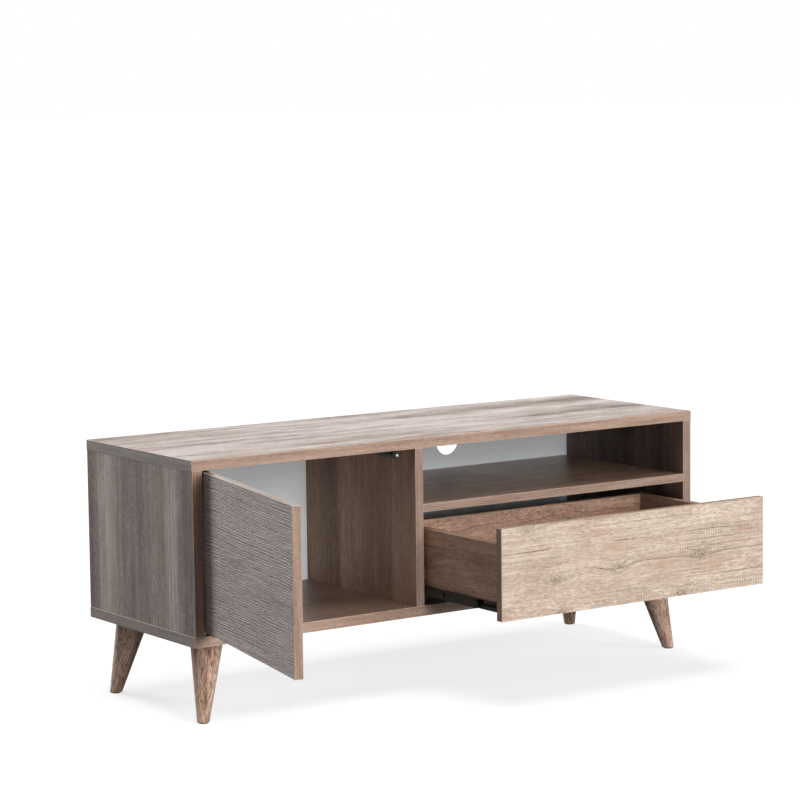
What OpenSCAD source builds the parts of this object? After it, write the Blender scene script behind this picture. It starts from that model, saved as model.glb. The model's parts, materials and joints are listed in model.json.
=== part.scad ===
// TV stand with one inset door, one inset drawer and an open shelf bay, on four splayed legs.
// Right-handed frame, millimetres, +Z up, front of the stand towards -Y.
// The door is drawn open and the drawer pulled out: joint value 0 is this pose.

/* [Stand] */
// Overall width of the carcass
stand_w = 1200; // [1150:10:1250]
// Overall depth of the carcass
stand_d = 400; // [390:5:440]
// Height of the carcass without its legs
carcass_h = 350; // [340:5:380]
// Height of the legs
leg_h = 150; // [130:5:180]

/* [Boards] */
// Thickness of the top, the bottom and the two sides
outer_t = 20; // [18:1:22]
// Thickness of the divider
divider_t = 18; // [18:1:20]
// Thickness of the shelf, the door and the drawer boards
inner_t = 16; // [16:1:18]
// How far the top and the bottom stand proud of the sides
side_inset = 1; // [0.5:0.5:2]
// Thickness of the glued edge bands
band_t = 1; // [0.5:0.5:1.5]
// Thickness of the back panel and of the drawer bottom
sheet_t = 3; // [3:0.5:4]
// Depth of the grooves that hold the thin panels
groove_d = 6; // [5:0.5:7]
// Distance from the rear edge to the face of the back panel
back_inset = 10; // [9:1:14]
// Sideways place of the divider, measured from the middle
divider_x = -90; // [-110:5:-70]
// Height of the shelf's upper face above the underside of the carcass
shelf_z = 220; // [215:1:225]
// Diameter of the cable hole in the back panel
cable_hole_d = 55; // [40:1:60]
// Sideways place of the cable hole, measured from the middle of the right bay
cable_hole_x = 9; // [-20:1:40]

/* [Door] */
// Gap at each side of the door and of the drawer front
side_gap = 2.5; // [2:0.5:3]
// Gap above the door
door_top_gap = 3; // [3:0.5:4]
// Gap below the door
door_bottom_gap = 7; // [7:0.5:8]
// Angle at which the door stands open
door_open = 102; // [95:1:110]
// Distance of the hinge pin from the door's edge
pin_from_edge = 8; // [7.5:0.5:9]
// Distance of the hinge pin from the door's outer face
pin_from_face = 5.5; // [5.5:0.5:6]

/* [Drawer] */
// Gap above the drawer front
front_top_gap = 2.5; // [2:0.5:4]
// Gap below the drawer front
front_bottom_gap = 4.5; // [4:0.5:6]
// Distance that the drawer is pulled out
drawer_out = 248; // [200:1:300]
// Depth of the drawer box
box_d = 352; // [350:1:354]
// Height of the drawer box
box_h = 130; // [125:1:132]
// Height of the drawer box above the cabinet floor
box_lift = 19; // [19:1:21]
// Length of the ball bearing slides
slide_l = 350; // [350:1:351]
// Travel of the middle member for each unit of drawer travel
middle_ratio = 0.75; // [0.5:0.05:0.75]

/* [Legs] */
// Diameter of a leg where it meets the carcass
leg_top_d = 63; // [50:1:66]
// Diameter of a leg at its foot
leg_foot_d = 23; // [20:1:26]
// Sideways distance from the end of the stand to the middle of a foot
foot_inset_x = 33.5; // [30:0.5:40]
// Distance from the front or the rear to the middle of a foot
foot_inset_y = 33.5; // [30:0.5:40]
// Distance that a leg leans out along X, and the same along Y
leg_splay = 27; // [20:1:30]

/* [Hidden] */
$fn = 32;

// Radial room that a fastener has in its hole
fit_gap = 0.05;
// Overshoot that keeps cuts clean
cut = 1;

// Planes of the carcass
front_y = -stand_d / 2;
rear_y = stand_d / 2;
back_y = rear_y - back_inset;
under_z = leg_h;
floor_z = leg_h + outer_t;
top_z = leg_h + carcass_h;
ceiling_z = top_z - outer_t;
left_in = -stand_w / 2 + side_inset + outer_t;
right_in = -left_in;
left_mid = left_in - outer_t / 2;
right_mid = -left_mid;
divider_l = divider_x - divider_t / 2;
divider_r = divider_x + divider_t / 2;
shelf_top = leg_h + shelf_z;
shelf_under = shelf_top - inner_t;
shelf_mid = shelf_top - inner_t / 2;
bay_mid_x = (divider_r + right_in) / 2;
upper_bay_mid_z = (shelf_top + ceiling_z) / 2;

// Door, closed
door_l = left_in + side_gap;
door_r = divider_l - side_gap;
door_lo = floor_z + door_bottom_gap;
door_hi = ceiling_z - door_top_gap;
door_in = front_y + inner_t;
pin_x = door_l + pin_from_edge;
pin_y = front_y + pin_from_face;

// Drawer, closed
slide_w = 13;
front_l = divider_r + side_gap;
front_r = right_in - side_gap;
front_lo = floor_z + front_bottom_gap;
front_hi = shelf_under - front_top_gap;
box_l = divider_r + slide_w;
box_r = right_in - slide_w;
box_lo = floor_z + box_lift;
box_hi = box_lo + box_h;
box_rear = door_in + box_d;
sheet_lo = box_lo + 10;

// The frame's origin: middle of the base of the box round the stand in the drawn pose
door_tip_x = pin_x + (door_r - pin_x) * cos(door_open) + (front_y - pin_y) * sin(door_open);
door_tip_y = pin_y - (door_r - pin_x) * sin(door_open) + (door_in - pin_y) * cos(door_open);
origin_x = (min(door_tip_x, -stand_w / 2) + stand_w / 2) / 2;
origin_y = (min(door_tip_y, front_y - drawer_out) + rear_y) / 2;

// Fasteners
cam_r = 7.5;
cam_depth = 12.5;
cam_setback = 34;
cam_bolt_in = 11;
cap_t = 0.6;
dowel_r = 4;
dowel_l = 30;
dowel_in = 12;
fastener_y = [-150, 150];
dowel_y = [-90, 90];

// Hinge hardware
leaf_l = 50;
leaf_w = 8;
leaf_t = 2.5;
pin_r = 2.5;
pin_reach = 8;
pin_gap = 0.05;
washer_r = 3.9;
leaf_screw_x = [20, 38];

// Push latch
latch_x = divider_l - 31;
latch_drop = 12;
latch_r = 6.5;
collar_r = 7.5;
rod_r = 1.8;
rod_l = 50;
tip_r = 2.3;
tip_l = 2.5;
tip_y = door_in + 0.4;
plunger_travel = 3;
housing_y = tip_y + tip_l + plunger_travel + 0.5;
housing_l = 68;
ear_l = 20;
ear_w = 40;
ear_t = 2.5;
ear_screw_x = [-14, 14];

// Slides: three folded steel members, side by side across the slide's width
slide_y = door_in + 2;
steel_t = 1.2;
slide_h = 18;
slide_lo = box_lo;
outer_grow = 0.8;
middle_shrink = 0.8;
outer_depth = 6;
middle_x = [1.6, 7];
inner_depth = 5.4;
track_h = 7;
track_slope = 4;
slide_screw_y = [47, 167, 310];
access_y = [105, 248];
access_z = slide_lo + 11.5;
inner_screw_z = slide_lo + 13.6;
bumper_lip = 1.2;
bumper_l = 8;

// Legs
foot_x = stand_w / 2 - foot_inset_x;
foot_y = stand_d / 2 - foot_inset_y;
glide_t = 2;
glide_r = 9.5;
leg_run = leg_splay * sqrt(2);
leg_lean = atan(leg_run / leg_h);
leg_len = leg_h / cos(leg_lean);
bolt_r = 4;
bolt_in_leg = 45;
bolt_in_board = 12;
nut_r = 6;
nut_l = 14;
leg_sites = [[-1, -1], [1, -1], [-1, 1], [1, 1]];

oak = "#BCA48F";
oak_edge = "#AC917C";
oak_dark = "#8A7F7A";
hdf = "#D8D9DA";
steel = "#B8BABD";
black = "#1E1E20";
white = "#F2F2F0";

// ---- Helpers ----

module box(lo, hi) {
    translate(lo) cube(hi - lo);
}

module rod_x(at, r, l) {
    translate(at) rotate([0, 90, 0]) cylinder(r = r, h = l);
}

module rod_y(at, r, l) {
    translate(at) rotate([-90, 0, 0]) cylinder(r = r, h = l);
}

module rod_z(at, r, l) {
    translate(at) cylinder(r = r, h = l);
}

// The stand's own frame, set down on the part's origin
module stand() {
    translate([-origin_x, -origin_y, 0]) children();
}

module door_pose() {
    stand() translate([pin_x, pin_y, 0]) rotate([0, 0, -door_open])
        translate([-pin_x, -pin_y, 0]) children();
}

module drawer_pose() {
    stand() translate([0, -drawer_out, 0]) children();
}

module middle_pose() {
    stand() translate([0, -drawer_out * middle_ratio, 0]) children();
}

// A board's edge band: what is left of the full board outside its core
module band(lo, hi, core_lo, core_hi) {
    difference() {
        box(lo, hi);
        box(core_lo, core_hi);
    }
}

// ---- Fastener shapes, used as solids and, grown, as the holes that hold them ----

// Screw along +Z from the surface at z = 0, with a flat head sunk flush and a crossed slot in it
module flat_screw(head_r, head_h, r, l, grow = 0) {
    difference() {
        union() {
            cylinder(r = head_r + grow, h = head_h);
            cylinder(r = r + grow, h = l);
        }
        if (grow == 0)
            for (a = [0, 90])
                rotate([0, 0, a])
                    cube([head_r * 1.1, head_r * 0.22, head_h * 1.4], center = true);
    }
}

// Cam and bolt sites: [place, turn, board thickness]; the bolt runs along local +Z
uprights = [[left_mid, outer_t, 0], [divider_x, divider_t, 0], [right_mid, outer_t, 180]];
top_cam_sites = [
    for (u = uprights, y = fastener_y)
        [[u[0], y, ceiling_z - cam_setback], [0, 0, u[2]], u[1]]
];
shelf_cam_sites = [
    for (y = fastener_y, end = [[divider_r + cam_setback, 180], [right_in - cam_setback, 0]])
        [[end[0], y, shelf_mid], [0, 90, end[1]], inner_t]
];
carcass_cam_sites = concat(top_cam_sites, shelf_cam_sites);
drawer_cam_sites = [
    for (z = [box_lo + 40, box_hi - 30], end = [[box_l + inner_t / 2, 90, 0], [box_r - inner_t / 2, -90, 180]])
        [[end[0], door_in + cam_setback, z], [end[1], 0, end[2]], inner_t]
];

module at_site(s) {
    translate(s[0]) rotate(s[1]) children();
}

module cam_body(t) {
    rod_x([t / 2 - cam_depth, 0, 0], cam_r, cam_depth);
}

module cam_lock(t) {
    slot_w = 1.6;
    slot_l = 9;
    slot_d = 1.5;
    difference() {
        cam_body(t);
        rod_z([0, 0, -5], 4.1, cam_r + 10);
        for (a = [0, 90])
            translate([t / 2, 0, 0]) rotate([a, 0, 0])
                cube([2 * slot_d, slot_w, slot_l], center = true);
    }
}

module cam_bolt() {
    rod_z([0, 0, -3], 3.4, 5);
    rod_z([0, 0, -3], 2, cam_setback + 3);
    rod_z([0, 0, 8], 3, cam_setback - 8 + cam_bolt_in);
}

module cam_cut(t) {
    rod_x([t / 2 - cam_depth, 0, 0], cam_r, cam_depth + cut);
    rod_z([0, 0, -5], 4, cam_setback + 5);
    rod_z([0, 0, cam_setback - cut], 3 + fit_gap, cam_bolt_in + cut + fit_gap);
}

module all_dowels(grow = 0) {
    for (u = uprights, y = dowel_y) {
        rod_z([u[0], y, ceiling_z + dowel_in - dowel_l], dowel_r + grow, dowel_l);
        rod_z([u[0], y, floor_z - dowel_in], dowel_r + grow, dowel_l);
    }
    for (y = dowel_y) {
        rod_x([divider_r - dowel_in, y, shelf_mid], dowel_r + grow, dowel_l);
        rod_x([right_in + dowel_in - dowel_l, y, shelf_mid], dowel_r + grow, dowel_l);
    }
}

// Stepped board screw with a hexagonal socket in its head
module confirmat(grow = 0) {
    difference() {
        union() {
            cylinder(r = 5 + grow, h = 3);
            cylinder(r = 3.5 + grow, h = outer_t);
            cylinder(r = 2.5 + grow, h = 50);
        }
        if (grow == 0)
            translate([0, 0, -cut]) cylinder(r = 2.3, h = 2.5 + cut, $fn = 6);
    }
}

module all_confirmats(grow = 0) {
    for (u = uprights, y = fastener_y)
        translate([u[0], y, under_z]) confirmat(grow);
}

module drawer_back_fixings(grow = 0) {
    for (z = [box_lo + 35, box_hi - 25]) {
        translate([box_l, box_rear - inner_t / 2, z]) rotate([0, 90, 0]) flat_screw(4, 3, 2.5, 45, grow);
        translate([box_r, box_rear - inner_t / 2, z]) rotate([0, -90, 0]) flat_screw(4, 3, 2.5, 45, grow);
    }
}

// Everything that is drilled or let into the carcass boards
module carcass_cuts() {
    all_dowels(fit_gap);
    all_confirmats(fit_gap);
    for (s = carcass_cam_sites)
        at_site(s) cam_cut(s[2]);
}

// ---- Legs ----

// Local +Z runs up a leg's axis from the middle of its foot
module leg_axis(s) {
    translate([s[0] * foot_x, s[1] * foot_y, 0])
        rotate([0, leg_lean, atan2(-s[1], -s[0])]) children();
}

module leg_cone() {
    over = 12;
    slope = (leg_top_d - leg_foot_d) / 2 / leg_len;
    translate([0, 0, -over])
        cylinder(r1 = leg_foot_d / 2 - slope * over, r2 = leg_top_d / 2 + slope * over,
                 h = leg_len + 2 * over);
}

module leg_bolt(grow = 0) {
    rod_z([0, 0, leg_len - bolt_in_leg], bolt_r + grow, bolt_in_leg + bolt_in_board);
}

module leg(s) {
    color(oak) stand() difference() {
        intersection() {
            leg_axis(s) leg_cone();
            box([-stand_w, -stand_d, glide_t], [stand_w, stand_d, leg_h]);
        }
        leg_axis(s) leg_bolt(fit_gap);
    }
}

module leg_front_left() { leg(leg_sites[0]); }
module leg_front_right() { leg(leg_sites[1]); }
module leg_rear_left() { leg(leg_sites[2]); }
module leg_rear_right() { leg(leg_sites[3]); }

module leg_bolts() {
    color(steel) stand()
        for (s = leg_sites)
            leg_axis(s) leg_bolt();
}

module leg_insert_nuts() {
    color(steel) stand()
        for (s = leg_sites)
            intersection() {
                leg_axis(s) difference() {
                    rod_z([0, 0, leg_len - 10], nut_r, nut_l + 10);
                    rod_z([0, 0, leg_len - 10 - cut], bolt_r + fit_gap, nut_l + 10 + 2 * cut);
                }
                box([-stand_w, -stand_d, under_z], [stand_w, stand_d, top_z]);
            }
}

module foot_glides() {
    color(black) stand()
        for (s = leg_sites)
            rod_z([s[0] * foot_x, s[1] * foot_y, 0], glide_r, glide_t);
}

// ---- Hinge hardware ----

// Flat leaf round the pin, its face at z = 0 and its body above
module leaf(pin_hole) {
    difference() {
        translate([-6, -leaf_w / 2, 0]) cube([leaf_l, leaf_w, leaf_t]);
        if (pin_hole)
            rod_z([0, 0, -cut], pin_r + pin_gap, leaf_t + 2 * cut);
        for (x = leaf_screw_x)
            translate([x, 0, 0]) leaf_screw(fit_gap);
    }
}

module leaf_screw(grow = 0) {
    flat_screw(3, 1.6, 1.5, 14, grow);
}

// Places for the four leaves, local +Z away from the gap and into the board
module top_plate_place() { translate([pin_x, pin_y, ceiling_z]) children(); }
module bottom_plate_place() { translate([pin_x, pin_y, floor_z + leaf_t]) mirror([0, 0, 1]) children(); }
module top_leaf_place() { translate([pin_x, pin_y, door_hi]) mirror([0, 0, 1]) children(); }
module bottom_leaf_place() { translate([pin_x, pin_y, door_lo - leaf_t]) children(); }

module hinge_plate_top() { color(black) stand() top_plate_place() leaf(true); }
module hinge_plate_bottom() { color(black) stand() bottom_plate_place() leaf(true); }

module hinge_plate_screws() {
    color(black) stand()
        for (x = leaf_screw_x) {
            top_plate_place() translate([x, 0, 0]) leaf_screw();
            bottom_plate_place() translate([x, 0, 0]) leaf_screw();
        }
}

// Nylon washers that take up the gap round each pin
module hinge_washer(lo, hi) {
    difference() {
        rod_z([pin_x, pin_y, lo], washer_r, hi - lo);
        rod_z([pin_x, pin_y, lo - cut], pin_r + pin_gap, hi - lo + 2 * cut);
    }
}

module hinge_washers() {
    color(black) stand() {
        hinge_washer(door_hi + pin_gap, ceiling_z);
        hinge_washer(floor_z + leaf_t, door_lo - leaf_t - pin_gap);
    }
}

module hinge_leaf_top() {
    color(black) door_pose() {
        top_leaf_place() leaf(false);
        rod_z([pin_x, pin_y, door_hi - leaf_t / 2], pin_r, leaf_t / 2 + door_top_gap + pin_reach);
    }
}

module hinge_leaf_bottom() {
    color(black) door_pose() {
        bottom_leaf_place() leaf(false);
        rod_z([pin_x, pin_y, floor_z + leaf_t - pin_reach], pin_r,
              door_lo - leaf_t / 2 - floor_z - leaf_t + pin_reach);
    }
}

module hinge_leaf_screws() {
    color(black) door_pose()
        for (x = leaf_screw_x) {
            top_leaf_place() translate([x, 0, 0]) leaf_screw();
            bottom_leaf_place() translate([x, 0, 0]) leaf_screw();
        }
}

module hinge_cuts_in_carcass() {
    top_plate_place() translate([-6, -leaf_w / 2, -cut]) cube([leaf_l, leaf_w, leaf_t + cut]);
    rod_z([pin_x, pin_y, ceiling_z], pin_r + pin_gap, pin_reach + cut);
    rod_z([pin_x, pin_y, floor_z - pin_reach], pin_r + pin_gap, pin_reach + cut);
    for (x = leaf_screw_x) {
        top_plate_place() translate([x, 0, 0]) leaf_screw(fit_gap);
        bottom_plate_place() translate([x, 0, 0]) leaf_screw(fit_gap);
    }
}

module hinge_cuts_in_door() {
    top_leaf_place() translate([-6, -leaf_w / 2, -cut]) cube([leaf_l, leaf_w, leaf_t + cut]);
    for (x = leaf_screw_x) {
        top_leaf_place() translate([x, 0, 0]) leaf_screw(fit_gap);
        bottom_leaf_place() translate([x, 0, 0]) leaf_screw(fit_gap);
    }
}

// ---- Push latches ----

// Local frame: plunger along -Y, mounting face at z = latch_drop
module latch_housing() {
    difference() {
        union() {
            rod_y([0, housing_y, 0], latch_r, housing_l);
            rod_y([0, housing_y, 0], collar_r, 6);
            box([-latch_r, housing_y + 8, 0], [latch_r, housing_y + housing_l - 4, latch_drop]);
            box([-ear_w / 2, housing_y + 26, latch_drop - ear_t],
                [ear_w / 2, housing_y + 26 + ear_l, latch_drop]);
        }
        rod_y([0, housing_y - cut, 0], rod_r + 0.3, rod_l + 10 + cut);
        latch_ear_screws(fit_gap);
    }
}

module latch_ear_screws(grow = 0) {
    for (x = ear_screw_x)
        translate([x, housing_y + 26 + ear_l / 2, latch_drop - ear_t]) flat_screw(3.2, 1.6, 1.6, 14, grow);
}

module latch_plunger() {
    rod_y([0, tip_y, 0], tip_r, tip_l);
    rod_y([0, tip_y + tip_l - cut, 0], rod_r, rod_l + cut);
}

module door_latch_place() { translate([latch_x, 0, ceiling_z - latch_drop]) children(); }
module drawer_latch_place() {
    translate([bay_mid_x, 0, floor_z + latch_drop]) mirror([0, 0, 1]) children();
}

module door_latch_housing() { color(black) stand() door_latch_place() latch_housing(); }
module drawer_latch_housing() { color(black) stand() drawer_latch_place() latch_housing(); }
module door_latch_plunger() { color(white) stand() door_latch_place() latch_plunger(); }
module drawer_latch_plunger() { color(white) stand() drawer_latch_place() latch_plunger(); }

module latch_screws() {
    color(steel) stand() {
        door_latch_place() latch_ear_screws();
        drawer_latch_place() latch_ear_screws();
    }
}

// ---- Carcass boards and their edge bands ----

module top_panel() {
    color(oak) stand() difference() {
        box([-stand_w / 2 + band_t, front_y + band_t, ceiling_z], [stand_w / 2 - band_t, rear_y, top_z]);
        carcass_cuts();
        hinge_cuts_in_carcass();
        door_latch_place() latch_ear_screws(fit_gap);
        back_sheet();
    }
}

module bottom_panel() {
    color(oak) stand() difference() {
        box([-stand_w / 2 + band_t, front_y + band_t, under_z], [stand_w / 2 - band_t, rear_y, floor_z]);
        carcass_cuts();
        hinge_cuts_in_carcass();
        drawer_latch_place() latch_ear_screws(fit_gap);
        back_sheet();
        for (s = leg_sites)
            leg_axis(s) rod_z([0, 0, leg_len - 10], nut_r, nut_l + 10);
    }
}

module cap_band(lo_z, hi_z) {
    color(oak_edge) stand()
        band([-stand_w / 2, front_y, lo_z], [stand_w / 2, rear_y, hi_z],
             [-stand_w / 2 + band_t, front_y + band_t, lo_z - cut],
             [stand_w / 2 - band_t, rear_y + cut, hi_z + cut]);
}

module top_edge_band() { cap_band(ceiling_z, top_z); }
module bottom_edge_band() { cap_band(under_z, floor_z); }

module side_board(x_lo) {
    color(oak) stand() difference() {
        box([x_lo, front_y + band_t, floor_z], [x_lo + outer_t, rear_y, ceiling_z]);
        carcass_cuts();
        slide_screw_cuts();
        back_sheet();
    }
}

module left_side() { side_board(left_in - outer_t); }
module right_side() { side_board(right_in); }

module front_strip(x_lo, x_hi, z_lo, z_hi) {
    color(oak_edge) stand() box([x_lo, front_y, z_lo], [x_hi, front_y + band_t, z_hi]);
}

module left_side_edge_band() { front_strip(left_in - outer_t, left_in, floor_z, ceiling_z); }
module right_side_edge_band() { front_strip(right_in, right_in + outer_t, floor_z, ceiling_z); }
module divider_edge_band() { front_strip(divider_l, divider_r, floor_z, ceiling_z); }
module shelf_edge_band() { front_strip(divider_r, right_in, shelf_under, shelf_top); }

module divider() {
    color(oak) stand() difference() {
        box([divider_l, front_y + band_t, floor_z], [divider_r, back_y, ceiling_z]);
        carcass_cuts();
        slide_screw_cuts();
    }
}

module shelf() {
    color(oak) stand() difference() {
        box([divider_r, front_y + band_t, shelf_under], [right_in, back_y, shelf_top]);
        carcass_cuts();
    }
}

// The thin back, let into grooves all round
module back_sheet() {
    box([left_in - groove_d, back_y, floor_z - groove_d],
        [right_in + groove_d, back_y + sheet_t, ceiling_z + groove_d]);
}

module back_panel() {
    color(hdf) stand() difference() {
        back_sheet();
        rod_y([bay_mid_x + cable_hole_x, back_y - cut, upper_bay_mid_z], cable_hole_d / 2, sheet_t + 2 * cut);
    }
}

// ---- Carcass fasteners ----

module dowels() { color(oak) stand() all_dowels(); }
module confirmat_screws() { color(steel) stand() all_confirmats(); }

module cam_locks() {
    color(steel) stand()
        for (s = carcass_cam_sites)
            at_site(s) cam_lock(s[2]);
}

module cam_bolts() {
    color(steel) stand()
        for (s = carcass_cam_sites)
            at_site(s) cam_bolt();
}

module cam_caps() {
    color(oak_dark) stand()
        for (s = carcass_cam_sites)
            at_site(s) rod_x([s[2] / 2, 0, 0], cam_r + 1, cap_t);
}

// ---- Door ----

module door_outline(inset) {
    box([door_l + inset, front_y, door_lo + inset], [door_r - inset, door_in, door_hi - inset]);
}

module door_panel() {
    color(oak_dark) door_pose() difference() {
        door_outline(band_t);
        hinge_cuts_in_door();
    }
}

module door_edge_band() {
    color(oak_edge) door_pose() difference() {
        door_outline(0);
        box([door_l + band_t, front_y - cut, door_lo + band_t], [door_r - band_t, door_in + cut, door_hi - band_t]);
        hinge_cuts_in_door();
    }
}

// ---- Drawer ----

module drawer_front() {
    color(oak) drawer_pose() difference() {
        box([front_l + band_t, front_y, front_lo + band_t], [front_r - band_t, door_in, front_hi - band_t]);
        drawer_sheet();
        for (s = drawer_cam_sites)
            at_site(s) cam_cut(s[2]);
    }
}

module drawer_front_edge_band() {
    color(oak_edge) drawer_pose()
        band([front_l, front_y, front_lo], [front_r, door_in, front_hi],
             [front_l + band_t, front_y - cut, front_lo + band_t],
             [front_r - band_t, door_in + cut, front_hi - band_t]);
}

module drawer_side(x_lo) {
    color(oak_dark) drawer_pose() difference() {
        box([x_lo, door_in, box_lo], [x_lo + inner_t, box_rear, box_hi - band_t]);
        drawer_sheet();
        drawer_back_fixings(fit_gap);
        slide_inner_fixings(fit_gap);
        for (s = drawer_cam_sites)
            at_site(s) cam_cut(s[2]);
    }
}

module drawer_left_side() { drawer_side(box_l); }
module drawer_right_side() { drawer_side(box_r - inner_t); }

// The back stands on the rear of the bottom
module drawer_back() {
    color(oak_dark) drawer_pose() difference() {
        box([box_l + inner_t, box_rear - inner_t, sheet_lo + sheet_t],
            [box_r - inner_t, box_rear, box_hi - band_t]);
        drawer_back_fixings(fit_gap);
    }
}

// The bottom, let into the sides and the front
module drawer_sheet() {
    box([box_l + inner_t - groove_d, door_in - groove_d, sheet_lo],
        [box_r - inner_t + groove_d, box_rear, sheet_lo + sheet_t]);
}

module drawer_bottom() { color(hdf) drawer_pose() drawer_sheet(); }

module drawer_box_edge_bands() {
    color(oak_edge) drawer_pose()
        for (b = [[box_l, door_in, box_l + inner_t], [box_r - inner_t, door_in, box_r],
                  [box_l + inner_t, box_rear - inner_t, box_r - inner_t]])
            box([b[0], b[1], box_hi - band_t], [b[2], box_rear, box_hi]);
}

module drawer_cam_locks() {
    color(steel) drawer_pose()
        for (s = drawer_cam_sites)
            at_site(s) cam_lock(s[2]);
}

module drawer_cam_bolts() {
    color(steel) drawer_pose()
        for (s = drawer_cam_sites)
            at_site(s) cam_bolt();
}

module drawer_back_screws() { color(steel) drawer_pose() drawer_back_fixings(); }

// ---- Slides ----

// Left slide in place; the right one is its mirror image in the middle of the bay
module left_slide_place() { translate([divider_r, slide_y, 0]) children(); }
module right_slide_place() { translate([right_in, slide_y, 0]) mirror([1, 0, 0]) children(); }

module slide_outer() {
    lo = slide_lo - outer_grow;
    hi = slide_lo + slide_h + outer_grow;
    difference() {
        box([0, 0, lo], [outer_depth, slide_l, hi]);
        box([steel_t, -cut, lo + steel_t], [outer_depth + cut, slide_l + cut, hi - steel_t]);
        slide_outer_fixings(fit_gap);
    }
}

module slide_outer_fixings(grow = 0) {
    for (y = slide_screw_y)
        translate([steel_t, y, slide_lo + slide_h / 2]) rotate([0, -90, 0]) flat_screw(3.2, steel_t, 1.8, 13, grow);
}

module slide_middle() {
    lo = slide_lo + middle_shrink;
    hi = slide_lo + slide_h - middle_shrink;
    difference() {
        box([middle_x[0], 0, lo], [middle_x[1], slide_l, hi]);
        box([middle_x[0] + steel_t, -cut, lo + steel_t], [middle_x[1] + cut, slide_l + cut, hi - steel_t]);
        for (y = access_y)
            rod_x([0, y, access_z], 4, slide_w);
    }
}

// Plastic plug in the front end of the middle member, with a lip that takes the drawer front's knock
module slide_bumper() {
    far = middle_x[1] - 0.4;
    inside = middle_shrink + steel_t;
    box([middle_x[0], -bumper_lip, slide_lo + 3], [far, 0, slide_lo + slide_h - 3]);
    box([middle_x[0] + steel_t, -bumper_lip / 2, slide_lo + inside],
        [far, bumper_l, slide_lo + slide_h - inside]);
}

// Upper half a thin web, lower half a ball track that stands out towards the middle member
module slide_inner() {
    far = slide_w - inner_depth;
    difference() {
        translate([0, slide_l, slide_lo]) rotate([90, 0, 0]) linear_extrude(slide_l) polygon([
            [slide_w, 0], [slide_w, slide_h], [far, slide_h], [far, slide_h - steel_t],
            [slide_w - steel_t, slide_h - steel_t], [slide_w - steel_t, track_h + track_slope],
            [far, track_h], [far, 0]
        ]);
        box([far + steel_t, -cut, slide_lo - cut], [slide_w - steel_t, slide_l + cut, slide_lo + track_h - steel_t]);
    }
}

module slide_inner_screw_row(grow = 0) {
    for (y = slide_screw_y)
        translate([slide_w - steel_t, y, inner_screw_z])
            rotate([0, 90, 0]) flat_screw(2.4, steel_t, 1.5, 10, grow);
}

module slide_inner_fixings(grow = 0) {
    left_slide_place() slide_inner_screw_row(grow);
    right_slide_place() slide_inner_screw_row(grow);
}

module slide_screw_cuts() {
    left_slide_place() slide_outer_fixings(fit_gap);
    right_slide_place() slide_outer_fixings(fit_gap);
}

module slide_inner_drilled() {
    difference() {
        slide_inner();
        slide_inner_screw_row(fit_gap);
    }
}

module slide_outer_left() { color(black) stand() left_slide_place() slide_outer(); }
module slide_outer_right() { color(black) stand() right_slide_place() slide_outer(); }
module slide_middle_left() { color(black) middle_pose() left_slide_place() slide_middle(); }
module slide_middle_right() { color(black) middle_pose() right_slide_place() slide_middle(); }
module slide_bumper_left() { color(black) middle_pose() left_slide_place() slide_bumper(); }
module slide_bumper_right() { color(black) middle_pose() right_slide_place() slide_bumper(); }
module slide_inner_left() { color(black) drawer_pose() left_slide_place() slide_inner_drilled(); }
module slide_inner_right() { color(black) drawer_pose() right_slide_place() slide_inner_drilled(); }

module slide_outer_screws() {
    color(steel) stand() {
        left_slide_place() slide_outer_fixings();
        right_slide_place() slide_outer_fixings();
    }
}

module slide_inner_screws() { color(steel) drawer_pose() slide_inner_fixings(); }

top_panel();
top_edge_band();
bottom_panel();
bottom_edge_band();
left_side();
left_side_edge_band();
right_side();
right_side_edge_band();
divider();
divider_edge_band();
shelf();
shelf_edge_band();
back_panel();
leg_front_left();
leg_front_right();
leg_rear_left();
leg_rear_right();
leg_bolts();
leg_insert_nuts();
foot_glides();
dowels();
cam_locks();
cam_bolts();
cam_caps();
confirmat_screws();
hinge_plate_top();
hinge_plate_bottom();
hinge_plate_screws();
hinge_washers();
door_latch_housing();
drawer_latch_housing();
latch_screws();
slide_outer_left();
slide_outer_right();
slide_outer_screws();
door_panel();
door_edge_band();
hinge_leaf_top();
hinge_leaf_bottom();
hinge_leaf_screws();
drawer_front();
drawer_front_edge_band();
drawer_left_side();
drawer_right_side();
drawer_back();
drawer_bottom();
drawer_box_edge_bands();
drawer_cam_locks();
drawer_cam_bolts();
drawer_back_screws();
slide_inner_left();
slide_inner_right();
slide_inner_screws();
slide_middle_left();
slide_middle_right();
slide_bumper_left();
slide_bumper_right();
door_latch_plunger();
drawer_latch_plunger();
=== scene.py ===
import json
import math

import bpy
from mathutils import Matrix, Vector


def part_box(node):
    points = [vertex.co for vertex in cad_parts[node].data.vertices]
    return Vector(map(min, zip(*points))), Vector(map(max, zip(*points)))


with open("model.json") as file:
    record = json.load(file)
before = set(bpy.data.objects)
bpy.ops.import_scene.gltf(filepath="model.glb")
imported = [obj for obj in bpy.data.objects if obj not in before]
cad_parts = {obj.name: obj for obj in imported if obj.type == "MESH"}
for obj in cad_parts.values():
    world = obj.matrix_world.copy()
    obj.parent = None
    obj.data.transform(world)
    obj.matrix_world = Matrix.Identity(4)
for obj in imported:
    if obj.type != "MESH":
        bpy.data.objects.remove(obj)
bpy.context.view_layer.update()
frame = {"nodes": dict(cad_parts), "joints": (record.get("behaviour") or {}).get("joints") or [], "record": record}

NODES = frame["nodes"]

X, Y, Z = Vector((1, 0, 0)), Vector((0, 1, 0)), Vector((0, 0, 1))


def linear(code):
    """An sRGB colour such as "#C9BDB5" as linear RGBA."""
    def channel(text):
        value = int(text, 16) / 255
        return value / 12.92 if value <= 0.04045 else ((value + 0.055) / 1.055) ** 2.4
    return tuple(channel(code[i:i + 2]) for i in (1, 3, 5)) + (1.0,)


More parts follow.
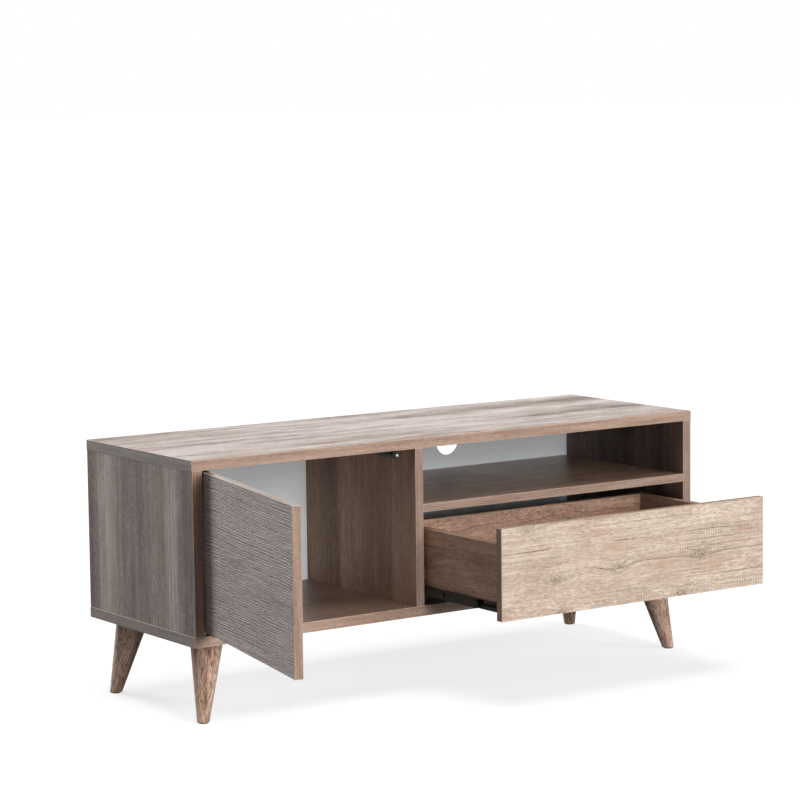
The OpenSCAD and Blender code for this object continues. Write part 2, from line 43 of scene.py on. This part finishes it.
def ladder(*codes):
    """The tones of an edge or a dowel, darkest first, from sRGB codes."""
    return [linear(code) for code in codes]


def tones(dark, mid, light, **more):
    """The tones of a board or a leg, from sRGB codes, with any other settings of its decor."""
    return dict(dark=linear(dark), mid=linear(mid), light=linear(light), **more)


def tinted(colour, gains):
    """The colour with its red, green and blue each made darker or lighter by their own gain."""
    return tuple(gain * channel for gain, channel in zip(gains, colour)) + (1.0,)


def shaded(colour, gain):
    """The colour made darker or lighter by gain."""
    return tinted(colour, (gain, gain, gain))


# How far each seed moves a board's pattern, along, across and through the board
BOARD_SHIFT = (3.71, 1.93, 0.57)


class Net:
    """A material's node tree. Each call adds a node and returns its output socket."""

    def __init__(self, name):
        self.material = bpy.data.materials.new(name)
        self.material.use_nodes = True
        self.tree = self.material.node_tree
        self.tree.nodes.clear()
        self.point = self.add("ShaderNodeTexCoord", out="Object")

    def add(self, kind, sockets=None, out=0, **settings):
        node = self.tree.nodes.new(kind)
        for key, value in settings.items():
            setattr(node, key, value)
        for key, value in (sockets or {}).items():
            self.feed(node.inputs[key], value)
        return node.outputs[out]

    def feed(self, socket, value):
        if isinstance(value, bpy.types.NodeSocket):
            self.tree.links.new(value, socket)
        else:
            socket.default_value = value

    def math(self, operation, a, b=0.0):
        return self.add("ShaderNodeMath", {0: a, 1: b}, operation=operation)

    def times(self, *factors):
        """The product of the factors, each a socket or a number."""
        result = factors[0]
        for factor in factors[1:]:
            result = self.math("MULTIPLY", result, factor)
        return result

    def total(self, *weighted):
        """The sum of (value, weight) pairs."""
        result = 0.0
        for value, weight in weighted:
            result = self.math("ADD", result, self.times(value, weight))
        return result

    def vector(self, x, y, z):
        return self.add("ShaderNodeCombineXYZ", {0: x, 1: y, 2: z})

    def split(self, vector):
        node = self.tree.nodes.new("ShaderNodeSeparateXYZ")
        self.tree.links.new(vector, node.inputs[0])
        return node.outputs

    def noise(self, vector, scale=1.0, detail=2.0, rough=0.55, warp=0.0):
        return self.add("ShaderNodeTexNoise", {"Vector": vector, "Scale": scale, "Detail": detail,
                                               "Roughness": rough, "Distortion": warp})

    def grain(self, axes, scales, detail=2.0, rough=0.55):
        """Noise stretched by giving each axis a scale of its own."""
        stretched = [axis if scale == 1 else self.times(axis, scale) for axis, scale in zip(axes, scales)]
        return self.noise(self.vector(*stretched), 1.0, detail, rough)

    def step(self, value, low, high):
        """0 below low, 1 above high, and smooth between them. Low may be the larger one."""
        return self.add("ShaderNodeMapRange", {"Value": value, "From Min": low, "From Max": high},
                        interpolation_type="SMOOTHSTEP")

    def span(self, value, low, high, first, last):
        """Carries low to first and high to last, in a straight line."""
        return self.add("ShaderNodeMapRange", {"Value": value, "From Min": low, "From Max": high,
                                               "To Min": first, "To Max": last})

    def mix(self, factor, a, b, mode="MIX"):
        return self.add("ShaderNodeMix", {0: factor, 6: a, 7: b}, out=2, data_type="RGBA",
                        blend_type=mode)

    def ramp(self, value, *stops):
        node = self.tree.nodes.new("ShaderNodeValToRGB")
        while len(node.color_ramp.elements) < len(stops):
            node.color_ramp.elements.new(0.5)
        for element, (place, colour) in zip(node.color_ramp.elements, stops):
            element.position = place
            element.color = colour
        self.tree.links.new(value, node.inputs[0])
        return node.outputs[0]

    def board(self, along, across, seed):
        """Coordinates with X along the grain and Y across it, shifted so that boards differ."""
        axes = (along, across, along.cross(across))
        turn = Matrix([axis.normalized() for axis in axes]).to_euler()
        return self.add("ShaderNodeMapping", {"Vector": self.point, "Rotation": turn,
                                              "Location": tuple(seed * step for step in BOARD_SHIFT)})

    def finish(self, colour, rough, height, depth, strength, **fixed):
        """Ends the tree with a shader. height is the relief, and depth its size in metres."""
        relief = self.add("ShaderNodeBump", {"Height": height, "Distance": depth, "Strength": strength})
        sockets = {"Base Color": colour, "Roughness": rough, "Normal": relief, **fixed}
        self.add_output(self.add("ShaderNodeBsdfPrincipled", sockets))
        return self.material

    def add_output(self, shader):
        node = self.tree.nodes.new("ShaderNodeOutputMaterial")
        self.tree.links.new(shader, node.inputs["Surface"])


# ---- Wood ----

# The decor's repeating marks, in metres from one to the next
RING_PITCH = 0.0125
CRACK_PITCH = 0.046
RIDGE_PITCH = 0.0050
SAW_PITCH, SAW_ROW_PITCH = 0.0062, 0.0074
# Cells of the knot pattern in a metre, along and across the grain
KNOTS_ALONG, KNOTS_ACROSS = 5.2, 11.5


def oak_foil(name, along, across, seed, dark, mid, light, weights=(0.24, 0.10, 0.24, 0.12, 0.18, 0.12),
             spread=0.115, per_metre=19.0, run=1.5, knots=0.4, saw=0.0, cracks=0.5, dashes=0.4,
             ridges=0.0, blush=0.3, speck=0.2, sway=0.050, ripples=0.004, rough=0.5, shine=0.38):
    """Printed and embossed oak decor: broad bands, wandering grain, pores, cracks, knots, saw marks.
    weights are the shares of the broad bands, clouds, mottle, streaks, fine grain and grit in the tone,
    and a smaller spread gives more contrast. per_metre and run are the cells of the broad bands' noise
    in a metre, across and along the grain. knots, saw, cracks, dashes, ridges, blush and speck are
    amounts from 0 to 1, and sway and ripples say how far the grain wanders, in metres."""
    net = Net(name)
    place = net.board(along, across, seed)
    x, y, z = net.split(place)
    deep = tinted(dark, (0.32, 0.27, 0.24))

    def patches(per_x, per_y, detail=2.0, rough_noise=0.55):
        return net.grain((x, y, z), (per_x, per_y, 1), detail, rough_noise)

    # Knots sit in the cells of a stretched Voronoi pattern
    cell = net.vector(net.times(x, KNOTS_ALONG), net.times(y, KNOTS_ACROSS), 0.0)
    rag = net.noise(place, 130.0, 4.0, 0.7)
    near, lot = (net.add("ShaderNodeTexVoronoi", {"Vector": cell, "Randomness": 0.9, "Scale": 1.0},
                         out=out, voronoi_dimensions="2D") for out in ("Distance", "Color"))
    chosen = net.step(net.split(lot)[0], 1.0 - knots, 1.02 - knots)
    ragged = net.total((near, 1.0), (net.math("SUBTRACT", rag, 0.5), 0.34))
    crumbs = net.step(net.noise(place, 260.0, 2.0), 0.46, 0.58)
    heart = net.times(net.step(near, 0.15, 0.05), crumbs, chosen, 0.85)
    halo = net.times(net.step(near, 0.34, 0.05), chosen)

    # The field is the distance across the grain: its level lines are the lines of the grain
    wander = patches(1.7, 8.0, 3.0)
    ripple = patches(16.0, 45.0)
    field = net.total((y, 1.0), (wander, sway), (ripple, ripples), (halo, 0.008))

    def lines(per_x, per_y, detail=3.0, rough_noise=0.6):
        return net.grain((x, field, z), (per_x, per_y, 40.0), detail, rough_noise)

    bands = lines(run, per_metre, 2.0)
    mottle = lines(11.0, 75.0, 6.0, 0.68)
    streaks = lines(3.0, 130.0, 4.0, 0.62)
    fine = lines(22.0, 560.0, 4.0, 0.66)
    grit = lines(85.0, 390.0, 3.0, 0.75)
    cloud = patches(10.0, 24.0, 5.0, 0.62)
    pores = net.step(lines(60.0, 1300.0, 1.0), 0.58, 0.70)
    tone = net.total(*zip((bands, cloud, mottle, streaks, fine, grit), weights))
    colour = net.ramp(tone, (0.5 - spread, dark), (0.5, mid), (0.5 + spread, light))

    # Growth rings show as thin darker lines in some places
    phase = net.total((field, math.tau / RING_PITCH), (streaks, 6.0))
    ring = net.times(net.step(net.math("SINE", phase), 0.5, 1.0), net.step(bands, 0.48, 0.62), 0.20)
    colour = net.mix(ring, colour, dark, "MULTIPLY")

    # Light and dark flecks, thicker in some places
    here = net.step(patches(5.0, 16.0, 3.0), 0.42, 0.60)
    flecks = net.times(net.total((here, 1.3), (0.35, 1.0)), speck)
    colour = net.mix(net.times(net.step(grit, 0.54, 0.68), flecks), colour, shaded(light, 1.3))
    colour = net.mix(net.times(net.step(grit, 0.44, 0.28), flecks), colour, deep)

    # Warm patches
    warm = tinted(mid, (0.86, 0.68, 0.60))
    blotch = net.times(net.step(patches(7.0, 32.0, 5.0, 0.68), 0.50, 0.68), blush)
    colour = net.mix(blotch, colour, warm)

    # Long thin cracks, each at its own level of the field and broken along its length, and short ones
    level = net.total((field, 1 / CRACK_PITCH), (rag, 0.10))
    row = net.math("FLOOR", level)
    off_middle = net.math("ABSOLUTE", net.math("SUBTRACT", net.math("FRACT", level), 0.5))
    thin = net.step(off_middle, 0.026, 0.006)
    broken = net.grain((x, row, 0.0), (4.0, 7.31, 1))
    crack = net.times(thin, net.step(broken, 0.46, 0.56), cracks)
    short = net.step(lines(13.0, 480.0, 2.0), 0.63, 0.72)
    crack = net.math("MAXIMUM", crack, net.times(short, dashes))
    around = net.times(net.step(net.math("SINE", net.times(ragged, 58.0)), 0.25, 0.9), halo, 0.42)
    mark = net.math("MAXIMUM", net.math("MAXIMUM", crack, around), heart)
    colour = net.mix(net.times(mark, 0.78), colour, deep)
    colour = net.mix(net.times(pores, 0.36), colour, deep)
    height = net.total((pores, -0.5), (mark, -0.9), (fine, 0.35), (grit, 0.5))

    if ridges:
        # Deeply embossed lines, boldest where the bands run high
        phase = net.total((field, math.tau / RIDGE_PITCH), (streaks, 9.0))
        groove = net.times(net.step(net.math("SINE", phase), 0.12, 0.90), net.step(bands, 0.24, 0.50),
                           net.step(mottle, 0.38, 0.52))
        colour = net.mix(net.times(groove, 0.82 * ridges), colour, deep)
        height = net.total((height, 1.0), (groove, -1.05 * ridges))
    if saw:
        # Patches of cross-cut saw marks
        where = net.step(patches(4.5, 13.0), 0.47, 0.60)
        teeth = net.math("SINE", net.total((x, math.tau / SAW_PITCH), (rag, 6.0)))
        rows = net.math("SINE", net.total((y, math.tau / SAW_ROW_PITCH), (rag, 6.0)))
        cut = net.times(net.step(teeth, -0.3, 0.8), net.step(rows, -0.7, 0.5), where, saw)
        colour = net.mix(net.times(cut, 0.45), colour, deep)
        height = net.total((height, 1.0), (cut, -0.8))

    gloss = net.span(net.total((streaks, 0.6), (pores, 0.4)), 0.2, 0.7, rough - 0.07, rough + 0.12)
    return net.finish(colour, gloss, height, 0.0004, 0.7, **{"Specular IOR Level": shine})


def oak_band(name, parts, seed):
    """Edge band. parts is a list of (tones, along, across, test): the first holds everywhere, and each
    later one takes over where its test (comparison, axis, limit) on the coordinates is met."""
    net = Net(name)
    whole = net.split(net.point)
    colour = height = None
    for (dark, mid, light), along, across, test in parts:
        x, y, z = net.split(net.board(along, across, seed))
        bend = net.grain((x, y, z), (9.0, 30.0, 1))
        field = net.total((y, 1.0), (z, 1.0), (bend, 0.003))

        def lines(per_x, per_y, detail=3.0):
            return net.grain((x, field, 0.0), (per_x, per_y, 1), detail, 0.62)

        broad = lines(6.0, 110.0)
        fine = lines(55.0, 900.0)
        pore = net.step(lines(150.0, 1500.0, 1.0), 0.54, 0.66)
        shade = net.ramp(net.total((broad, 0.5), (fine, 0.5)), (0.34, dark), (0.50, mid), (0.68, light))
        shade = net.mix(net.times(pore, 0.5), shade, shaded(dark, 0.4))
        relief = net.total((fine, 0.5), (pore, -0.8))
        if test is None:
            colour, height = shade, relief
            continue
        comparison, axis, limit = test
        met = net.math(comparison, whole[axis], limit)
        colour = net.mix(met, colour, shade)
        height = net.math("ADD", net.times(height, net.math("SUBTRACT", 1.0, met)),
                          net.times(relief, met))
    gloss = net.span(height, -0.4, 0.4, 0.60, 0.45)
    return net.finish(colour, gloss, height, 0.00018, 0.6, **{"Specular IOR Level": 0.4})


def solid_oak(name, axis, seed, dark, mid, light):
    """Turned oak: long open pores and streaks that run along the leg."""
    net = Net(name)
    side = axis.cross(Z if abs(axis.z) < 0.9 else X).normalized()
    x, y, z = net.split(net.board(axis, side, seed))
    bend = net.grain((x, y, z), (7.0, 26.0, 26.0))

    def lines(along, across, detail):
        bent_x = net.total((x, along), (bend, 1.0))
        bent_y = net.total((y, across), (bend, across * 0.006))
        return net.noise(net.vector(bent_x, bent_y, net.times(z, across)), 1.0, detail, 0.6)

    broad = lines(5.0, 60.0, 2.0)
    fine = lines(22.0, 420.0, 3.0)
    pores = net.step(lines(27.0, 720.0, 3.0), 0.53, 0.64)
    flecks = net.step(lines(70.0, 300.0, 1.0), 0.62, 0.74)
    colour = net.ramp(net.total((broad, 0.55), (fine, 0.45)), (0.36, dark), (0.50, mid), (0.66, light))
    colour = net.mix(net.times(pores, 0.90), colour, shaded(dark, 0.38))
    colour = net.mix(net.times(flecks, 0.30), colour, light)
    height = net.total((pores, -1.0), (fine, 0.3))
    gloss = net.span(pores, 0.0, 1.0, 0.50, 0.72)
    return net.finish(colour, gloss, height, 0.0005, 0.8, **{"Specular IOR Level": 0.3})


def arris(name, colour):
    """The rounded corner of a board or band, painted a little lighter than its faces as a highlight, and smoother.
    """
    net = Net(name)
    variation = net.noise(net.point, 240.0, 3.0, 0.6)
    # Painted highlight: the corner's tone is a lighter colour, speckled by noise
    tone = net.ramp(variation, (0.35, shaded(colour, 0.82)), (0.65, colour))
    return net.finish(tone, net.span(variation, 0.0, 1.0, 0.36, 0.5), variation, 0.00005, 0.5)


# ---- Metal, plastic and board ----

def white_board(name, colour):
    """Thin fibre board with a smooth painted face: faint orange peel, clouds and roller lines."""
    net = Net(name)
    peel = net.noise(net.point, 900.0, 2.0)
    cloud = net.noise(net.point, 7.0, 3.0, 0.6)
    roll = net.grain(net.split(net.point), (2.0, 1, 260.0))
    tone = net.ramp(net.total((cloud, 0.7), (roll, 0.3)), (0.35, shaded(colour, 0.90)), (0.65, colour))
    gloss = net.span(net.total((cloud, 0.5), (peel, 0.5)), 0.3, 0.7, 0.30, 0.46)
    return net.finish(tone, gloss, net.total((peel, 0.7), (roll, 0.3)), 0.00006, 0.5)


def zinc(name):
    """Bright zinc plate: fine brushing and faint spangle."""
    net = Net(name)
    brush = net.grain(net.split(net.point), (300.0, 2600.0, 900.0), 3.0)
    spangle = net.noise(net.point, 420.0, 3.0, 0.7)
    tone = net.ramp(net.total((brush, 0.5), (spangle, 0.5)),
                    (0.35, linear("#8E9195")), (0.65, linear("#CDD0D4")))
    gloss = net.span(spangle, 0.3, 0.7, 0.24, 0.42)
    return net.finish(tone, gloss, brush, 0.00003, 0.5, Metallic=1.0)


def black_coat(name):
    """Black dip-coated steel: slight pimple, a thin oily film and stripes rubbed along the slide."""
    net = Net(name)
    pimple = net.noise(net.point, 1400.0, 2.0)
    variation = net.grain(net.split(net.point), (900.0, 9.0, 900.0), 3.0, 0.65)
    worn = net.step(variation, 0.58, 0.74)
    tone = net.ramp(worn, (0.0, linear("#0B0B0C")), (1.0, linear("#2A2B2E")))
    gloss = net.span(net.total((pimple, 0.4), (variation, 0.6)), 0.3, 0.7, 0.24, 0.44)
    return net.finish(tone, gloss, net.total((pimple, 0.6), (variation, 0.4)), 0.00005, 0.5,
                      **{"Specular IOR Level": 0.45, "Coat Weight": 0.12, "Coat Roughness": 0.2})


def plastic(name, dark, light, rough):
    """Moulded plastic: spark-eroded texture and soft flow clouds."""
    net = Net(name)
    texture = net.noise(net.point, 700.0, 3.0, 0.6)
    flow = net.noise(net.point, 26.0, 3.0, 0.55, 0.8)
    tone = net.ramp(net.total((texture, 0.35), (flow, 0.65)), (0.36, dark), (0.64, light))
    gloss = net.span(texture, 0.3, 0.7, rough - 0.06, rough + 0.08)
    return net.finish(tone, gloss, texture, 0.00006, 0.6)


# The glow's share in the floor that the camera sees, and the share of light that the floor throws back
FLOOR_GLOW, FLOOR_BOUNCE = 0.70, 0.22


def floor_paint(name):
    """Pale studio floor. It looks bright to the camera, and throws less light up onto the stand."""
    net = Net(name)
    cloud = net.noise(net.point, 1.4, 3.0)
    pale = net.ramp(cloud, (0.3, (0.93, 0.93, 0.93, 1.0)), (0.7, (0.96, 0.96, 0.96, 1.0)))
    paint = net.add("ShaderNodeBsdfDiffuse", {"Color": pale})
    glow = net.add("ShaderNodeEmission", {"Strength": 1.0})
    seen = net.add("ShaderNodeMixShader", {0: FLOOR_GLOW, 1: paint, 2: glow})
    dim = net.add("ShaderNodeBsdfDiffuse", {"Color": (FLOOR_BOUNCE, FLOOR_BOUNCE, FLOOR_BOUNCE, 1.0)})
    by_camera = net.add("ShaderNodeLightPath", out="Is Camera Ray")
    net.add_output(net.add("ShaderNodeMixShader", {0: by_camera, 1: dim, 2: seen}))
    return net.material


# ---- Directions taken from the frame ----

# How far a leg leans out for each unit of its height, along X and along Y
LEAN = 0.18
# Deeper than any edge band, so that it tells a band's strips from each other
STRIP = 0.0015

stand_low, stand_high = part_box("top_edge_band")
middle = (stand_low + stand_high) / 2
joints = {joint["name"]: joint for joint in frame["joints"]}
swing = math.radians(-joints["door_swing"]["range_deg"][0])
door_along = Vector((math.cos(swing), -math.sin(swing), 0))


def leg_axis(node):
    """A leg's own axis, from the middle of its foot to the middle of its top."""
    low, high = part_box(node)
    lean_x = 1 if (low.x + high.x) / 2 < middle.x else -1
    lean_y = 1 if (low.y + high.y) / 2 < middle.y else -1
    return Vector((lean_x * LEAN, lean_y * LEAN, 1.0))


# ---- Materials, one for each kind of piece and direction of grain ----

TOP = tones("#736760", "#A69B95", "#C2B9B5", spread=0.074)
SIDE = tones("#4A3D38", "#7C6D66", "#AB9C92", spread=0.080)
# Darker copy of the side's tones for the right side, whose inner face lies in shade: painted shade
RIGHT_SIDE_SHADED = tones("#4C3B33", "#74605A", "#927D73", spread=0.120)
DOOR = tones("#5D4E48", "#887871", "#A08F89")
INNER = tones("#6C5040", "#A7866F", "#CFAE96", spread=0.120)
# Darker tones for the bottom panel and shelf, whose tops lie in the bays' shade: painted shade
FLOOR = tones("#4A3A32", "#735B4D", "#957B6A")
BOX = tones("#705544", "#AB8976", "#D0AF98")
# Darker copy of the drawer box's tones for its right side, whose inner face lies in shade: painted shade
BOX_RIGHT_SHADED = tones("#604938", "#947663", "#B49780")
FRONT = tones("#8B7868", "#B2A090", "#CCBDAF", spread=0.110)
EDGE = ladder("#775F51", "#957C6D", "#AD9586")
INNER_EDGE = ladder("#6B5649", "#877063", "#9C877A")
# Greyer, darker band tones for the ends and rear of the top and bottom: painted shade and cool light of the
# sideways-facing ends
END_EDGE_SHADED = ladder("#574D48", "#73685F", "#8B8078")
PALE_EDGE = ladder("#837A75", "#A0968F", "#B8AEA8")
# Darker band tones for the left side's front edge, darkened as painted shade of the open door; the drawer box's
# bands use them too
SIDE_EDGE_SHADED = ladder("#694F3F", "#876A59", "#9F8371")
# Shares of the broad bands, clouds, mottle, streaks, fine grain and grit
BROAD = (0.44, 0.10, 0.05, 0.15, 0.12, 0.14)
GRITTY = (0.17, 0.15, 0.10, 0.10, 0.22, 0.26)
SOFT = (0.34, 0.12, 0.20, 0.14, 0.12, 0.08)

STANDING = dict(weights=BROAD, sway=0.014)
SIDE_DECOR = dict(STANDING, per_metre=11.0, run=0.5, knots=0.05, saw=0.2, cracks=0.45, blush=0.35)
BOX_DECOR = dict(knots=0.3, cracks=0.5, blush=0.4)

wood = {
    "top_panel": oak_foil("oak_top", X, Y, 1, weights=SOFT, knots=0.15, cracks=0.25, blush=0.2,
                          speck=0.10, rough=0.64, shine=0.12, **TOP),
    "bottom_panel": oak_foil("oak_bottom", X, Y, 2, knots=0.2, cracks=0.4, blush=0.3, rough=0.36,
                             **FLOOR),
    "left_side": oak_foil("oak_left_side", Z, Y, 3, **SIDE_DECOR, **SIDE),
    "right_side": oak_foil("oak_right_side", Z, Y, 4, **SIDE_DECOR, **RIGHT_SIDE_SHADED),
    "divider": oak_foil("oak_divider", Z, Y, 5, per_metre=12.0, run=0.7, knots=0.15, saw=0.6,
                        cracks=0.5, blush=0.3, **STANDING, **INNER),
    "shelf": oak_foil("oak_shelf", X, Y, 6, knots=0.2, cracks=0.4, blush=0.4, rough=0.34, shine=0.5,
                      **FLOOR),
    "door_panel": oak_foil("oak_door", door_along, Z, 7, knots=0.04, cracks=0.5, ridges=1.0, blush=0.1,
                           speck=0.08, sway=0.030, ripples=0.0015, **DOOR),
    "drawer_front": oak_foil("oak_drawer_front", X, Z, 8, weights=GRITTY, knots=0.6, saw=0.9,
                             cracks=1.0, dashes=0.5, blush=0.50, speck=0.26, sway=0.017,
                             ripples=0.002, **FRONT),
    "drawer_left_side": oak_foil("oak_drawer_left", Y, Z, 9, **BOX_DECOR, **BOX),
    "drawer_right_side": oak_foil("oak_drawer_right", Y, Z, 10, **BOX_DECOR, **BOX_RIGHT_SHADED),
    "drawer_back": oak_foil("oak_drawer_back", X, Z, 11, weights=GRITTY, knots=0.7, saw=0.8, cracks=0.6,
                            blush=0.5, speck=0.3, **BOX),
}
front_face = stand_low.y + STRIP
door_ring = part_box("door_edge_band")
drawer_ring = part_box("drawer_front_edge_band")


def ring_parts(along, low, high, top=EDGE):
    """A ring round a board: its sides run along Z, and its top and bottom strips run along the board."""
    through = Z.cross(along)
    return [(EDGE, Z, along, None), (top, along, through, ("GREATER_THAN", 2, high.z - STRIP)),
            (EDGE, along, through, ("LESS_THAN", 2, low.z + STRIP))]


# The ends take the painted-shade tones, and the front strip the usual band tones
flat_ring = [(END_EDGE_SHADED, Y, Z, None), (EDGE, X, Z, ("LESS_THAN", 1, front_face))]
bands = {
    "top_edge_band": flat_ring,
    "bottom_edge_band": flat_ring,
    # The left side's band takes the darker painted-shade tones
    "left_side_edge_band": [(SIDE_EDGE_SHADED, Z, X, None)],
    "right_side_edge_band": [(INNER_EDGE, Z, X, None)],
    "divider_edge_band": [(INNER_EDGE, Z, X, None)],
    "shelf_edge_band": [(INNER_EDGE, X, Z, None)],
    "door_edge_band": ring_parts(door_along, *door_ring, top=PALE_EDGE),
    "drawer_front_edge_band": ring_parts(X, *drawer_ring),
    "drawer_box_edge_bands": [(SIDE_EDGE_SHADED, Y, X, None),
                              (EDGE, X, Y, ("GREATER_THAN", 1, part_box("drawer_back")[0].y))],
}
for seed, (node, parts) in enumerate(bands.items(), 1):
    wood[node] = oak_band("band_" + node, parts, seed)
LEG = tones("#6D4F3E", "#AA8B79", "#D3B9A7")
for seed, node in enumerate(["leg_front_left", "leg_front_right", "leg_rear_left", "leg_rear_right"], 1):
    wood[node] = solid_oak("oak_" + node, leg_axis(node), seed, **LEG)

BEECH = ladder("#B08A62", "#CBA67D", "#DDBD97")
by_slot = {
    "white_board": white_board("white_board", linear("#D2D5D8")),
    "zinc_steel": zinc("zinc_plate"),
    "black_steel": black_coat("black_steel"),
    "black_plastic": plastic("black_plastic", linear("#121214"), linear("#26262A"), 0.45),
    "white_plastic": plastic("white_nylon", linear("#C9C9C4"), linear("#EDEDE9"), 0.38),
    "cap_foil": plastic("cap_foil", linear("#4A3A31"), linear("#6E5A4D"), 0.5),
    "beech": oak_band("beech_dowel", [(BEECH, Z, X, None)], 12),
}
# Lighter colour for the rounded wood corners: a painted highlight
oak_arris_highlight = arris("oak_arris_highlight", linear("#C9B3A0"))
slots = {part["node"]: part["material_slot"] for part in frame["record"]["subparts"]}

# Widths of the rounded corners, in metres, and the turn at which an edge counts as a corner
BOARD_ARRIS, BAND_ARRIS, FITTING_ARRIS = 0.00045, 0.00035, 0.00015
CORNER_TURN = math.radians(40)
# Points closer than this are one point, so that a corner has one edge to round
WELD_DISTANCE = 0.00001


def dress(node):
    """Gives a CAD node its material, and rounds its corners a little so that they catch the light. On wood the
    rounded corners also get a lighter painted highlight.
    """
    piece = NODES[node]
    material = wood.get(node) or by_slot[slots[node]]
    piece.data.materials.clear()
    piece.data.materials.append(material)
    weld = piece.modifiers.new("weld", "WELD")
    weld.merge_threshold = WELD_DISTANCE
    bevel = piece.modifiers.new("bevel", "BEVEL")
    bevel.limit_method = "ANGLE"
    bevel.angle_limit = CORNER_TURN
    bevel.segments = 2
    bevel.use_clamp_overlap = True
    if node in wood:
        # The bevel's faces get the lighter arris colour: a painted highlight
        piece.data.materials.append(oak_arris_highlight)
        bevel.width = BAND_ARRIS if node in bands else BOARD_ARRIS
        bevel.material = 1
    else:
        bevel.width = FITTING_ARRIS
    bevel.harden_normals = True


for name in NODES:
    dress(name)

# ---- Floor, light and camera ----

FLOOR_SIZE = 160
bpy.ops.mesh.primitive_plane_add(size=FLOOR_SIZE, location=(0, 0, 0))
ground = bpy.context.object
ground.name = "floor"
ground.data.materials.append(floor_paint("floor_paint"))


def sun(name, towards, strength, angle, colour=(1, 1, 1), glare=True):
    """A distant studio panel. towards points from the stand to the panel, angle is how wide it looks in
    degrees, and without glare it isn't mirrored."""
    data = bpy.data.lights.new(name, "SUN")
    data.energy = strength * math.pi
    data.angle = math.radians(angle)
    data.color = colour
    lamp = bpy.data.objects.new(name, data)
    lamp.visible_glossy = glare
    lamp.rotation_mode = "QUATERNION"
    lamp.rotation_quaternion = Vector(towards).to_track_quat("Z", "Y")
    bpy.context.scene.collection.objects.link(lamp)


sun("key", (0.55, -0.74, 0.40), 0.56, 34, (1.0, 0.985, 0.965))
sun("front_low", (-0.04, -0.99, 0.10), 0.42, 10, glare=False)
sun("front_high", (0.0, -0.95, 0.32), 0.44, 16, glare=False)
sun("overhead", (0.0, -0.08, 1.0), 0.94, 50)
sun("left_rear", (-0.30, 0.90, 0.30), 0.95, 30, (0.98, 0.98, 1.0))

# White to the camera, and a faint cool light on the stand
SKY_SEEN, SKY_LIGHT = 1.0, 0.08
world = bpy.data.worlds.new("studio")
bpy.context.scene.world = world
world.use_nodes = True
tree = world.node_tree
tree.nodes.clear()
ray = tree.nodes.new("ShaderNodeLightPath")
seen = tree.nodes.new("ShaderNodeBackground")
seen.inputs["Color"].default_value = (1, 1, 1, 1)
seen.inputs["Strength"].default_value = SKY_SEEN
lit = tree.nodes.new("ShaderNodeBackground")
lit.inputs["Color"].default_value = (0.86, 0.92, 1.0, 1)
lit.inputs["Strength"].default_value = SKY_LIGHT
both = tree.nodes.new("ShaderNodeMixShader")
end = tree.nodes.new("ShaderNodeOutputWorld")
tree.links.new(ray.outputs["Is Camera Ray"], both.inputs[0])
tree.links.new(lit.outputs[0], both.inputs[1])
tree.links.new(seen.outputs[0], both.inputs[2])
tree.links.new(both.outputs[0], end.inputs["Surface"])
bpy.context.scene.view_settings.view_transform = "Standard"

# The camera looks at a point over the middle of the stand, DISTANCE metres away
AZIMUTH, ELEVATION, ROLL = math.radians(-34.81), math.radians(6.53), math.radians(-0.68)
DISTANCE, AIM_ASIDE, AIM_HEIGHT = 5.710, 0.0057, 0.5495
target = Vector((middle.x + AIM_ASIDE, middle.y, AIM_HEIGHT))
back = Vector((math.sin(AZIMUTH) * math.cos(ELEVATION), -math.cos(AZIMUTH) * math.cos(ELEVATION),
               math.sin(ELEVATION)))
right = Z.cross(back).normalized()
up = back.cross(right)
right, up = (right * math.cos(ROLL) + up * math.sin(ROLL), up * math.cos(ROLL) - right * math.sin(ROLL))
camera_data = bpy.data.cameras.new("camera")
camera_data.sensor_width = 36
camera_data.lens = 127.98
camera_data.clip_end = 200
camera = bpy.data.objects.new("camera", camera_data)
turn = Matrix((right, up, back)).transposed().to_4x4()
camera.matrix_world = Matrix.Translation(target + back * DISTANCE) @ turn
bpy.context.scene.collection.objects.link(camera)
bpy.context.scene.camera = camera
